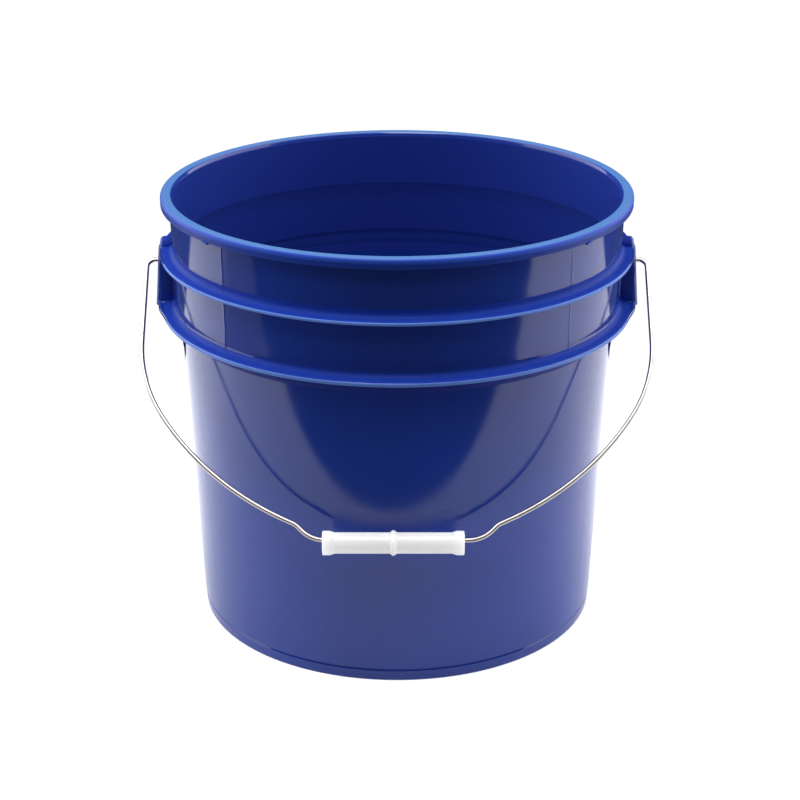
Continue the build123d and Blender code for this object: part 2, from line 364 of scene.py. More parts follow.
def neck_outside(z):
    """Outer radius of the neck at a height."""
    share = (z - LOWER_FLANGE_TOP) / (RIM_BOTTOM - LOWER_FLANGE_TOP)
    return NECK_BASE_RADIUS + share * (NECK_TOP_RADIUS - NECK_BASE_RADIUS)


def wall_outside(z):
    """Outer radius of the wall at a height."""
    share = (z - FOOT_BAND_HEIGHT) / (LOWER_FLANGE_BOTTOM - FOOT_BAND_HEIGHT)
    return WALL_BASE_RADIUS + share * (WALL_TOP_RADIUS - WALL_BASE_RADIUS)


def pail_rows():
    """(r, z) from the middle of the underside, up the outside, over the rim and down to the floor."""
    ring_inside, ring_outside, ring_bottom = BASE_RING
    gusset_foot = LOWER_FLANGE_BOTTOM - GUSSET_HEIGHT
    upper_bore = neck_outside(NECK_STEP_TOP) - NECK_THICKNESS
    lower_bore = NECK_BASE_RADIUS - NECK_THICKNESS - NECK_INSIDE_STEP
    bore_top = neck_outside(PAIL_HEIGHT - MOUTH_DEPTH) - NECK_THICKNESS
    corners = [
        (0, FLOOR_UNDERSIDE + GATE_DEPTH, 0),
        (GATE_RADIUS, FLOOR_UNDERSIDE + GATE_DEPTH, GATE_EDGE),
        (GATE_RADIUS, FLOOR_UNDERSIDE, GATE_EDGE),
        (ring_inside, FLOOR_UNDERSIDE, RING_EDGE),
        (ring_inside, ring_bottom, RING_EDGE),
        (ring_outside, ring_bottom, RING_EDGE),
        (ring_outside, FLOOR_UNDERSIDE, RING_EDGE),
        (FOOT_RADIUS - FOOT_THICKNESS, FLOOR_UNDERSIDE, FOOT_INSIDE_CORNER),
        (FOOT_RADIUS - FOOT_THICKNESS, 0, FOOT_EDGE),
        (FOOT_RADIUS, 0, FOOT_EDGE),
        (WALL_BASE_RADIUS - FOOT_BAND_STEP, FOOT_BAND_HEIGHT - FOOT_GROOVE_HEIGHT, GROOVE_FOOT),
        (WALL_BASE_RADIUS - FOOT_GROOVE_DEPTH, FOOT_BAND_HEIGHT - FOOT_GROOVE_DROP, GROOVE_BOTTOM),
        (WALL_BASE_RADIUS, FOOT_BAND_HEIGHT, GROOVE_LIP),
        (wall_outside(gusset_foot), gusset_foot, 0),
        (WALL_TOP_RADIUS, LOWER_FLANGE_BOTTOM, FLANGE_UNDER_ROOT),
        (LOWER_FLANGE_RADIUS, LOWER_FLANGE_BOTTOM, FLANGE_UNDER_EDGE),
        (LOWER_FLANGE_RADIUS, LOWER_FLANGE_TOP, LOWER_FLANGE_EDGE),
        (NECK_BASE_RADIUS, LOWER_FLANGE_TOP, LOWER_FLANGE_ROOT),
        (neck_outside(UPPER_FLANGE_BOTTOM), UPPER_FLANGE_BOTTOM, FLANGE_UNDER_ROOT),
        (UPPER_FLANGE_RADIUS, UPPER_FLANGE_BOTTOM, FLANGE_UNDER_EDGE),
        (UPPER_FLANGE_RADIUS, UPPER_FLANGE_TOP, UPPER_FLANGE_EDGE),
        (neck_outside(UPPER_FLANGE_TOP), UPPER_FLANGE_TOP, UPPER_FLANGE_ROOT),
        (neck_outside(RIM_BOTTOM), RIM_BOTTOM, 0),
        (neck_outside(RIM_GROOVE_TOP), RIM_GROOVE_TOP, RIM_EDGE),
        (RIM_SKIRT_INSIDE, RIM_GROOVE_TOP, RIM_EDGE),
        (RIM_SKIRT_INSIDE, RIM_BOTTOM, RIM_EDGE),
        (RIM_RADIUS, RIM_BOTTOM, RIM_EDGE),
        (RIM_RADIUS, PAIL_HEIGHT, RIM_CREST),
        (MOUTH_RADIUS, PAIL_HEIGHT, MOUTH_ROUND),
        (bore_top, PAIL_HEIGHT - MOUTH_DEPTH, BORE_TOP_CORNER),
        (upper_bore, NECK_STEP_TOP, NECK_STEP_CORNER),
        (upper_bore - NECK_INSIDE_STEP, NECK_STEP_TOP - NECK_STEP_HEIGHT, NECK_STEP_CORNER),
        (lower_bore, SHELF_TOP, SHELF_CORNER),
        (WALL_TOP_RADIUS - WALL_THICKNESS, LOWER_FLANGE_BOTTOM, SHELF_CORNER),
        (wall_outside(FLOOR_TOP) - WALL_THICKNESS, FLOOR_TOP, FLOOR_CORNER),
        (0, FLOOR_TOP, 0),
    ]
    return np.array(filled(rounded(corners)))


# ---------------------------------------------------------------- ears and columns

def ear_reach(z):
    """How far the ear's leaning outer face stands from the pail's axis at a height."""
    lean = (EAR_BASE_REACH - EAR_TOP_REACH) / (UPPER_FLANGE_TOP - LOWER_FLANGE_BOTTOM)
    return EAR_BASE_REACH - lean * (z - LOWER_FLANGE_BOTTOM)


def ear_outline(theta, z):
    """Radius of the neck and ear together, in plan, at an angle from the ear's middle and a height."""
    reach = ear_reach(z)
    above = np.clip(z - LOWER_FLANGE_TOP, 0, EAR_FOOT_FILLET)
    half = EAR_HALF_WIDTH + EAR_FOOT_FILLET - np.sqrt(EAR_FOOT_FILLET**2 - (EAR_FOOT_FILLET - above) ** 2)
    neck = np.where(z < LOWER_FLANGE_TOP, NECK_BASE_RADIUS, neck_outside(z))
    room_inside, room_outside, halvings = EAR_SEARCH
    low = np.full(np.broadcast(theta, z).shape, NECK_BASE_RADIUS - room_inside)
    high = np.full(low.shape, EAR_BASE_REACH + room_outside)
    for _ in range(halvings):
        r = (low + high) / 2
        x, y = r * np.cos(theta), np.abs(r * np.sin(theta))
        over_x, over_y = x - (reach - EAR_CORNER), y - (half - EAR_CORNER)
        corner = np.hypot(np.maximum(over_x, 0), np.maximum(over_y, 0))
        ear = corner + np.minimum(np.maximum(over_x, over_y), 0) - EAR_CORNER
        gap = np.hypot(np.maximum(EAR_ROOT - (r - neck), 0), np.maximum(EAR_ROOT - ear, 0))
        solid = np.maximum(EAR_ROOT, np.minimum(r - neck, ear)) - gap
        inside = solid < 0
        low, high = np.where(inside, r, low), np.where(inside, high, r)
    return (low + high) / 2


def ear_angles():
    """Angles from an ear's middle, evenly spaced along the ear's outline."""
    fine = np.radians(np.linspace(-EAR_WINDOW, EAR_WINDOW, EAR_SAMPLES))
    r = ear_outline(fine, np.array((LOWER_FLANGE_TOP + UPPER_FLANGE_BOTTOM) / 2))
    step = np.hypot(np.diff(r * np.cos(fine)), np.diff(r * np.sin(fine)))
    along = np.concatenate([[0], np.cumsum(step)])
    return np.interp(np.linspace(0, along[-1], EAR_COLUMNS + 1), along, fine)


def away_from(theta, centre):
    """Angle from a centre, wrapped to half a turn each way."""
    return (theta - centre + pi) % (2 * pi) - pi


def beside_ears(theta):
    """Angle from the nearer ear's middle, the same on both sides of it."""
    return np.minimum(np.abs(away_from(theta, 0)), np.abs(away_from(theta, pi)))


def rib_angles(centre, radius, half_width):
    """Columns at the two edges of a narrow rib, inside and just outside."""
    outside = half_width + RIB_EDGE
    return [centre + offset / radius for offset in (-outside, -half_width, 0, half_width, outside)]


def gusset_centres():
    """Angles of the four gussets, two beside each ear."""
    swing = np.arcsin(GUSSET_OFFSET / WALL_TOP_RADIUS)
    return [side + turn for side in (0.0, pi) for turn in (-swing, swing)]


def pail_columns():
    """Angles of the pail's columns: even, but close together at the ears and beside each rib."""
    angles = [ear + offset for ear in (0.0, pi) for offset in ear_angles()]
    special = []
    for azimuth in SEAM_AZIMUTHS:
        centre = radians(azimuth)
        special += [centre + k * SEAM_HALF_WIDTH / 3 / NECK_BASE_RADIUS for k in range(-3, 4)]
    for centre in gusset_centres():
        special += rib_angles(centre, WALL_TOP_RADIUS, GUSSET_THICKNESS / 2)
    for plain in np.radians(np.arange(0, 360, BASE_COLUMN_STEP)):
        near_ear = beside_ears(plain) < radians(EAR_WINDOW)
        near_rib = min(abs(away_from(plain, s)) for s in special) < radians(BASE_COLUMN_STEP / 3)
        if not near_ear and not near_rib:
            angles.append(plain)
    return np.unique(np.round((np.array(angles + special) % (2 * pi)), 9))


def with_ears(r, z, theta):
    """Pushes the outside rows between the flanges out round the two ears."""
    beside = beside_ears(theta)
    outline = ear_outline(beside, z)
    lower_middle = (LOWER_FLANGE_BOTTOM + LOWER_FLANGE_TOP) / 2
    upper_middle = (UPPER_FLANGE_BOTTOM + UPPER_FLANGE_TOP) / 2
    edge = np.where(z < upper_middle - EAR_LOWER_ROWS, LOWER_FLANGE_RADIUS, UPPER_FLANGE_RADIUS)
    neck = np.where(z < LOWER_FLANGE_TOP, NECK_BASE_RADIUS, neck_outside(z))
    share = np.clip((r - neck) / (edge - neck), 0, 1)
    between = outline + share * np.maximum(edge - outline, 0)
    root = np.where(z < lower_middle, WALL_TOP_RADIUS, neck)
    outward = np.clip((r - root) / (edge - root), 0, 1)
    beyond = r + outward * np.maximum(outline - edge, 0)
    inner = (z >= lower_middle) & (z <= upper_middle)
    outer = ((z < lower_middle) | (z > upper_middle)) & (r > root)
    in_window = (beside < radians(EAR_WINDOW)) & (z >= LOWER_FLANGE_BOTTOM) & (z <= UPPER_FLANGE_TOP)
    return np.where(in_window & inner, between, np.where(in_window & outer, beyond, r))


def with_flare(r, z, theta):
    """Widens the lower flange beside the two ears."""
    beside = beside_ears(theta)
    share = np.clip(1 - (np.degrees(beside) - FLARE_START) / (FLARE_END - FLARE_START), 0, 1)
    widened = FLARE_REACH * share**2 * (3 - 2 * share)
    root = np.where(z < (LOWER_FLANGE_BOTTOM + LOWER_FLANGE_TOP) / 2, WALL_TOP_RADIUS, NECK_BASE_RADIUS)
    outward = np.clip((r - root) / (LOWER_FLANGE_RADIUS - root), 0, 1)
    on_flange = (z >= LOWER_FLANGE_BOTTOM) & (z <= LOWER_FLANGE_TOP)
    return np.where(on_flange, r + outward * widened, r)


def with_gussets(r, z, theta):
    """Adds the thin gussets under the lower flange."""
    foot = LOWER_FLANGE_BOTTOM - GUSSET_HEIGHT
    share = np.clip((z - foot) / GUSSET_HEIGHT, 0, 1)
    blade = wall_outside(foot) + share * (WALL_TOP_RADIUS + GUSSET_REACH - wall_outside(foot))
    for centre in gusset_centres():
        inside = np.abs(away_from(theta, centre)) * WALL_TOP_RADIUS <= GUSSET_THICKNESS / 2 + HAIR
        here = inside & (z > foot) & (z <= LOWER_FLANGE_BOTTOM)
        r = np.where(here, np.maximum(r, blade), r)
    return r


def with_seams(r, z, theta):
    """Adds the raised mould lines on the neck."""
    on_neck = (z > LOWER_FLANGE_TOP + SEAM_START) & (z < RIM_BOTTOM) & (r < NECK_TOP_RADIUS + SEAM_REACH)
    for azimuth in SEAM_AZIMUTHS:
        off = np.abs(away_from(theta, radians(azimuth))) * NECK_BASE_RADIUS / SEAM_HALF_WIDTH
        r = r + np.where(on_neck, SEAM_HEIGHT * np.maximum(1 - off**2, 0), 0)
    return r


# ---------------------------------------------------------------- mesh helpers

def new_object(name, mesh):
    """Puts a mesh into the scene."""
    piece = bpy.data.objects.new(name, mesh)
    bpy.context.scene.collection.objects.link(piece)
    return piece


def grid_mesh(name, rows, closed_rows=False, caps=False):
    """Mesh from rows of points, each row a closed ring; optional caps on the first and last ring."""
    points = np.array(rows, float)
    count, ring = points.shape[:2]
    mesh = bpy.data.meshes.new(name)
    faces = []
    for i in range(count if closed_rows else count - 1):
        k = (i + 1) % count
        for j in range(ring):
            m = (j + 1) % ring
            faces.append((i * ring + j, i * ring + m, k * ring + m, k * ring + j))
    if caps:
        faces.append(tuple(range(ring))[::-1])
        faces.append(tuple((count - 1) * ring + j for j in range(ring)))
    mesh.from_pydata((points.reshape(-1, 3) * MM).tolist(), [], faces)
    work = bmesh.new()
    work.from_mesh(mesh)
    bmesh.ops.remove_doubles(work, verts=work.verts, dist=MERGE_DISTANCE)
    bmesh.ops.dissolve_degenerate(work, edges=work.edges, dist=SHORTEST_EDGE)
    bmesh.ops.recalc_face_normals(work, faces=work.faces)
    work.to_mesh(mesh)
    work.free()
    return mesh


def smooth(piece, angle):
    """Smooth shading that keeps flat faces flat and edges past the angle sharp."""
    for face in piece.data.polygons:
        face.use_smooth = True
    piece.data.set_sharp_from_angle(angle=radians(angle))
    weighted = piece.modifiers.new("weighted normals", "WEIGHTED_NORMAL")
    weighted.keep_sharp = True
    weighted.weight = FACE_AREA_WEIGHT


def turned(piece, azimuth):
    """The same piece, turned about the pail's axis."""
    piece.data.transform(Matrix.Rotation(radians(azimuth), 4, "Z"))
    return piece


def joined(name, pieces):
    """One object from several that don't touch."""
    whole = bmesh.new()
    for piece in pieces:
        whole.from_mesh(piece.data)
        bpy.data.objects.remove(piece)
    mesh = bpy.data.meshes.new(name)
    whole.to_mesh(mesh)
    whole.free()
    return new_object(name, mesh)


def combine(piece, tool, operation):
    """Cuts or joins a closed tool mesh into the piece, for good."""
    step = piece.modifiers.new("combine", "BOOLEAN")
    step.operation = operation
    step.solver = "EXACT"
    step.object = tool
    with bpy.context.temp_override(object=piece, active_object=piece):
        bpy.ops.object.modifier_apply(modifier=step.name)
    bpy.data.objects.remove(tool)


# ---------------------------------------------------------------- pail

def pail_shell():
    """The moulding without its base ribs, crowns, lid stops, pockets and holes."""
    rows, theta = pail_rows(), pail_columns()
    r = np.repeat(rows[:, :1], len(theta), axis=1)
    z = np.repeat(rows[:, 1:], len(theta), axis=1)
    top = int(np.argmax(rows[:, 1]))
    turn = np.repeat(theta[None, :], len(rows), axis=0)
    outside = np.arange(len(rows))[:, None] <= top
    moved = np.maximum(with_ears(r, z, turn), with_flare(r, z, turn))
    moved = with_seams(with_gussets(moved, z, turn), z, turn)
    r = np.where(outside, moved, r)
    points = np.stack([r * np.cos(turn), r * np.sin(turn), z], axis=2)
    return new_object("pail", grid_mesh("pail", points))


def ear_pocket():
    """Space inside the ear on +X, open downwards, as a closed mesh."""
    half = EAR_HALF_WIDTH - EAR_WEB
    across = np.linspace(-half, half, POCKET_COLUMNS)
    rows = []
    for z in (LOWER_FLANGE_BOTTOM - TOOL_MARGIN, UPPER_FLANGE_TOP - EAR_DECK):
        inner = np.sqrt(neck_outside(z) ** 2 - across**2)
        outer = ear_reach(z) - EAR_PLATE
        ring = [(x, y, z) for x, y in zip(inner, across)]
        ring += [(outer, y, z) for y in across[::-1]]
        rows.append(ring)
    return new_object("pocket", grid_mesh("pocket", rows, caps=True))


def pivot_hole():
    """Round bar that cuts the wire's hole through the ear on +X."""
    r = PIVOT_HOLE_RADIUS
    rows = [
        [(x, r * cos(a), PIVOT_HEIGHT + r * sin(a)) for a in full_turn(HOLE_SIDES)]
        for x in (EAR_TOP_REACH - 2 * EAR_PLATE, EAR_BASE_REACH + TOOL_MARGIN)
    ]
    return new_object("hole", grid_mesh("hole", rows, caps=True))


def base_rib(azimuth):
    """Rib under the floor, from the ring to the foot."""
    inner = BASE_RING[1] - RIB_SINK
    outer = FOOT_RADIUS - FOOT_THICKNESS / 2
    half = BASE_RIB_THICKNESS / 2
    rows = [
        [(x, y, z) for x, y in ((inner, -half), (outer, -half), (outer, half), (inner, half))]
        for z in (BASE_RIB_BOTTOM, FLOOR_UNDERSIDE + TOOL_MARGIN)
    ]
    return turned(new_object("rib", grid_mesh("rib", rows, caps=True)), azimuth)


def ear_crown(azimuth):
    """Round bar along the ear, with a rounded outer end; its top stands above the upper flange."""
    rounding = [radians(a) for a in range(0, 91, CROWN_STEP)]
    stations = [(CROWN_INNER, CROWN_RADIUS)]
    for a in rounding:
        x = CROWN_REACH - CROWN_ROUND * (1 - sin(a))
        stations.append((x, CROWN_RADIUS - CROWN_ROUND * (1 - cos(a))))
    spin = full_turn(CROWN_SIDES)
    rows = [[(x, r * cos(a), CROWN_CENTRE + r * sin(a)) for a in spin] for x, r in stations]
    return turned(new_object("crown", grid_mesh("crown", rows, caps=True)), azimuth)


def lid_stop(azimuth):
    """Nub on the rim's lower edge, with a sloping upper face."""
    outline = (
        (STOP_ROOT, RIM_BOTTOM - STOP_DROP),
        (STOP_REACH, RIM_BOTTOM - STOP_DROP),
        (STOP_REACH, RIM_BOTTOM + STOP_RISE),
        (STOP_ROOT, RIM_BOTTOM + STOP_RISE + STOP_SLOPE),
    )
    rows = [[(x, y, z) for x, z in outline] for y in (-STOP_WIDTH / 2, STOP_WIDTH / 2)]
    return turned(new_object("stop", grid_mesh("stop", rows, caps=True)), azimuth)


def make_pail():
    """The whole moulding, as one closed mesh."""
    pail = pail_shell()
    added = [base_rib(360 / BASE_RIB_COUNT * (k + 0.5)) for k in range(BASE_RIB_COUNT)]
    added += [ear_crown(azimuth) for azimuth in EAR_AZIMUTHS]
    added += [lid_stop(azimuth) for azimuth in STOP_AZIMUTHS]
    combine(pail, joined("added", added), "UNION")
    for make_tool in (ear_pocket, pivot_hole):
        pair = [turned(make_tool(), azimuth) for azimuth in EAR_AZIMUTHS]
        combine(pail, joined("cutters", pair), "DIFFERENCE")
    smooth(pail, PAIL_SHARP_ANGLE)
    return pail


# ---------------------------------------------------------------- bail and grip

def from_bail_plane(x, away, out=0.0):
    """A point of the bail's own plane, in the part's frame: x along the pivot, away from it, and out."""
    down = radians(REST_ANGLE)
    return (
        x,
        -away * cos(down) + out * sin(down),
        PIVOT_HEIGHT - away * sin(down) - out * cos(down),
    )


def bend(points, centre, radius, start, turn, step):
    """Adds an arc about a centre, from a start angle, in steps small enough to look round."""
    pieces = max(3, ceil(abs(turn) / step))
    for k in range(1, pieces + 1):
        angle = radians(start + turn * k / pieces)
        points.append((centre[0] + radius * cos(angle), centre[1] + radius * sin(angle)))


def arm_route():
    """Centre line of half the bail in its own plane, from the middle of the grip's run."""
    points, heading = [(0.0, BAIL_REACH)], 0.0
    for size, turn in BAIL_ROUTE:
        x, y = points[-1]
        if turn is None:
            points.append((x + size * cos(radians(heading)), y + size * sin(radians(heading))))
            continue
        side = 90 if turn > 0 else -90
        centre = (x + size * cos(radians(heading + side)), y + size * sin(radians(heading + side)))
        step = WIDE_BEND_STEP if size > WIDE_BEND else TIGHT_BEND_STEP
        bend(points, centre, size, heading - side, turn, step)
        heading += turn
    arm_x = points[-1][0]
    points.append((arm_x, ARM_BEND))
    bend(points, (arm_x - ARM_BEND, ARM_BEND), ARM_BEND, 0, -90, ARM_BEND_STEP)
    points.append((HOOK_LEG_X + HOOK_BEND, 0.0))
    bend(points, (HOOK_LEG_X + HOOK_BEND, HOOK_BEND), HOOK_BEND, -90, -90, HOOK_BEND_STEP)
    points.append((HOOK_LEG_X, HOOK_LEG_LENGTH))
    return points


def tube_rings(route, radius, tip):
    """Rings of points round a flat route, with rounded ends."""
    line = np.array(filled(route, WIRE_RUN_STEP))
    steps = np.diff(line, axis=0)
    steps /= np.linalg.norm(steps, axis=1)[:, None]
    ways = np.vstack([steps[:1], steps[:-1] + steps[1:], steps[-1:]])
    ways /= np.linalg.norm(ways, axis=1)[:, None]
    stations = [(point, way, radius) for point, way in zip(line, ways)][1:-1]
    first, last = [], []
    for a in np.radians(TIP_ANGLES):
        back, size = tip * (1 - sin(a)), radius - tip * (1 - cos(a))
        first.append((line[0] + ways[0] * back, ways[0], size))
        last.insert(0, (line[-1] - ways[-1] * back, ways[-1], size))
    rings = []
    for point, way, size in first + stations + last:
        ring = []
        for a in full_turn(WIRE_SIDES):
            x, away = point + size * cos(a) * np.array((-way[1], way[0]))
            ring.append(from_bail_plane(x, away, size * sin(a)))
        rings.append(ring)
    return rings


def make_bail():
    """One bent wire: both arms, the run through the grip and a hook at each end."""
    right = arm_route()
    left = [(-x, y) for x, y in reversed(right[1:])]
    rings = tube_rings(left + right, WIRE_RADIUS, WIRE_TIP_ROUND)
    bail = new_object("bail", grid_mesh("bail", rings, caps=True))
    smooth(bail, BAIL_SHARP_ANGLE)
    return bail


def make_grip():
    """Tube with a collar at each end and a ridge in the middle, turned about its own axis."""
    half = GRIP_LENGTH / 2
    right = [
        (0, GRIP_RIDGE_RADIUS, 0),
        (GRIP_RIDGE_TOP, GRIP_RIDGE_RADIUS, GRIP_RIDGE_EDGE),
        (GRIP_RIDGE_FOOT, GRIP_BODY_RADIUS, GRIP_RIDGE_ROOT),
        (half - GRIP_COLLAR_START, GRIP_BODY_RADIUS, GRIP_COLLAR_CURVE),
        (half - GRIP_COLLAR_FULL, GRIP_COLLAR_RADIUS, GRIP_COLLAR_CURVE),
        (half, GRIP_COLLAR_RADIUS, GRIP_COLLAR_EDGE),
        (half, GRIP_BORE_RADIUS + GRIP_BORE_BEVEL, GRIP_BEVEL_EDGE),
        (half - GRIP_BORE_BEVEL, GRIP_BORE_RADIUS, GRIP_BEVEL_EDGE),
        (0, GRIP_BORE_RADIUS, 0),
    ]
    outline = filled(rounded(right, GRIP_ARC_STEP), GRIP_RUN_STEP)
    outline += [(-x, r) for x, r in reversed(outline[1:-1])]
    axis_away = BAIL_REACH + GRIP_DROP
    rings = []
    for x, r in outline:
        ring = []
        for a in full_turn(GRIP_SIDES):
            ring.append(from_bail_plane(GRIP_CENTRE_X + x, axis_away + r * cos(a), r * sin(a)))
        rings.append(ring)
    grip = new_object("grip", grid_mesh("grip", rings, closed_rows=True))
    smooth(grip, GRIP_SHARP_ANGLE)
    return grip


# ---------------------------------------------------------------- materials

class Nodes:
    """Small helper that adds and links shader nodes."""

    def __init__(self, name):
        self.material = bpy.data.materials.new(name)
        self.material.use_nodes = True
        self.tree = self.material.node_tree
        self.shader = self.tree.nodes["Principled BSDF"]

    def add(self, kind, values=None, links=None, **settings):
        """New node, with values and links for its inputs and its own settings."""
        node = self.tree.nodes.new(kind)
        for key, value in settings.items():
            setattr(node, key, value)
        for key, value in (values or {}).items():
            node.inputs[key].default_value = value
        for key, source in (links or {}).items():
            self.tree.links.new(source, node.inputs[key])
        return node

    def noise(self, scale, detail=3.0, rough=0.5, vector=None):
        """Noise from 0 to 1 over the piece."""
        values = {"Scale": scale, "Detail": detail, "Roughness": rough}
        links = {"Vector": vector or self.place()}
        return self.add("ShaderNodeTexNoise", values, links).outputs["Fac"]

    def place(self):
        """Place on the piece, in metres."""
        return self.add("ShaderNodeTexCoord").outputs["Object"]

    def stretched(self, scale):
        """Place on the piece, scaled along each axis."""
        return self.add("ShaderNodeMapping", {"Scale": scale}, {"Vector": self.place()}).outputs["Vector"]

    def spread(self, source, low, high, out_low=0.0, out_high=1.0):
        """Moves a range of values on to another, and holds what lies past its ends."""
        values = {"From Min": low, "From Max": high, "To Min": out_low, "To Max": out_high}
        return self.add("ShaderNodeMapRange", values, {"Value": source}).outputs["Result"]

    def maths(self, operation, first, second):
        """Works out one value from two, either of which may be a plain number."""
        node = self.add("ShaderNodeMath", operation=operation)
        for socket, value in zip(node.inputs, (first, second)):
            if isinstance(value, (int, float)):
                socket.default_value = value
            else:
                self.tree.links.new(value, socket)
        return node.outputs["Value"]

    def mix(self, share, first, second):
        """Blends two colours: 0 gives the first and 1 the second."""
        node = self.add("ShaderNodeMix", data_type="RGBA")
        for socket, value in ((node.inputs[0], share), (node.inputs[6], first), (node.inputs[7], second)):
            if isinstance(value, (int, float, tuple)):
                socket.default_value = value
            else:
                self.tree.links.new(value, socket)
        return node.outputs[2]

    def bump(self, height, strength, distance, normal=None):
        """Surface normal that follows a height, on top of another normal if there is one."""
        links = {"Height": height}
        if normal:
            links["Normal"] = normal
        values = {"Strength": strength, "Distance": distance}
        return self.add("ShaderNodeBump", values, links).outputs["Normal"]

    def finish(self, links, values):
        """Sets the shader's inputs and hands over the material."""
        for key, source in links.items():
            self.tree.links.new(source, self.shader.inputs[key])
        for key, value in values.items():
            self.shader.inputs[key].default_value = value
        return self.material


def in_band(n, value, low, high):
    """1 where a value in metres lies between two limits in millimetres, 0 elsewhere."""
    above = n.maths("GREATER_THAN", value, low * MM)
    return n.maths("MULTIPLY", above, n.maths("LESS_THAN", value, high * MM))


def from_axis(n, x, y):
    """Distance from the pail's axis."""
    return n.maths("SQRT", n.maths("ADD", n.maths("POWER", x, 2.0), n.maths("POWER", y, 2.0)), 0.0)


def flange_tops(n, radius, z):
    """1 on the two flanges' upper faces and fillets, which have a duller finish and are painted paler for
    the light that falls on them from above.
    """
    beyond = in_band(n, radius, NECK_TOP_RADIUS - FACE_MARGIN, LOWER_FLANGE_RADIUS - TOP_EDGE)
    lower = in_band(n, z, LOWER_FLANGE_TOP - TOP_START, LOWER_FLANGE_TOP + LOWER_TOP_HEIGHT)
    upper = in_band(n, z, UPPER_FLANGE_TOP - TOP_START, UPPER_FLANGE_TOP + UPPER_TOP_HEIGHT)
    return n.maths("MULTIPLY", n.maths("MAXIMUM", lower, upper), beyond)


def flange_edges(n, x, radius, z):
    """1 on the flanges' outer edges, away from the ears, where light comes through the plastic."""
    outer = in_band(n, radius, LOWER_FLANGE_RADIUS - EDGE_DEPTH, UPPER_FLANGE_RADIUS + EDGE_DEPTH)
    lower = in_band(n, z, LOWER_FLANGE_BOTTOM - ZONE_EDGE, LOWER_FLANGE_TOP + ZONE_EDGE)
    upper = in_band(n, z, UPPER_FLANGE_BOTTOM - ZONE_EDGE, UPPER_FLANGE_TOP + ZONE_EDGE)
    away = n.maths("LESS_THAN", n.maths("ABSOLUTE", x, 0.0), (NECK_TOP_RADIUS + FACE_MARGIN) * MM)
    edges = n.maths("MULTIPLY", n.maths("MAXIMUM", lower, upper), outer)
    return n.maths("MULTIPLY", edges, away)


def rim_crest(n, radius, z):
    """1 on the rim's crest and on the lid stops, which are painted paler, standing for light that comes
    through the thin plastic there.
    """
    crest = n.maths("GREATER_THAN", z, (PAIL_HEIGHT - CREST_DEPTH) * MM)
    stops = n.maths("MULTIPLY", in_band(n, z, *STOP_ZONE_HEIGHTS), in_band(n, radius, *STOP_ZONE_RADII))
    return n.maths("MAXIMUM", crest, stops)


def rim_face(n, radius, z):
    """1 on the rim's outer face."""
    high = n.maths("GREATER_THAN", z, (RIM_BOTTOM - ZONE_EDGE) * MM)
    outside = n.maths("GREATER_THAN", radius, (NECK_TOP_RADIUS + FACE_MARGIN) * MM)
    return n.maths("MULTIPLY", outside, high)


def neck_inside(n, radius, z):
    """1 on the inner face of the neck, from the shelf to the mouth."""
    inner = n.maths("LESS_THAN", radius, (MOUTH_RADIUS - INNER_MARGIN) * MM)
    high = n.maths("GREATER_THAN", z, (LOWER_FLANGE_BOTTOM - NECK_ZONE_DROP) * MM)
    return n.maths("MULTIPLY", inner, high)


def shelf_inside(n, neck, z):
    """0 to 1 on the sloping shelf inside the neck, which looks down into the shade."""
    above = n.spread(z, *((SHELF_TOP + height) * MM for height in SHELF_ABOVE))
    below = n.spread(z, *((SHELF_TOP + height) * MM for height in SHELF_BELOW))
    return n.maths("MULTIPLY", neck, n.maths("MULTIPLY", above, below))


def step_shade(n, neck, z):
    """0 to 1: how much darker the inner face is below the neck's step, most just under it."""
    fading = n.spread(z, (NECK_STEP_TOP - STEP_FADE) * MM, NECK_STEP_TOP * MM, *STEP_SHADE)
    under = n.maths("LESS_THAN", z, NECK_STEP_TOP * MM)
    return n.maths("MULTIPLY", neck, n.maths("MULTIPLY", under, fading))


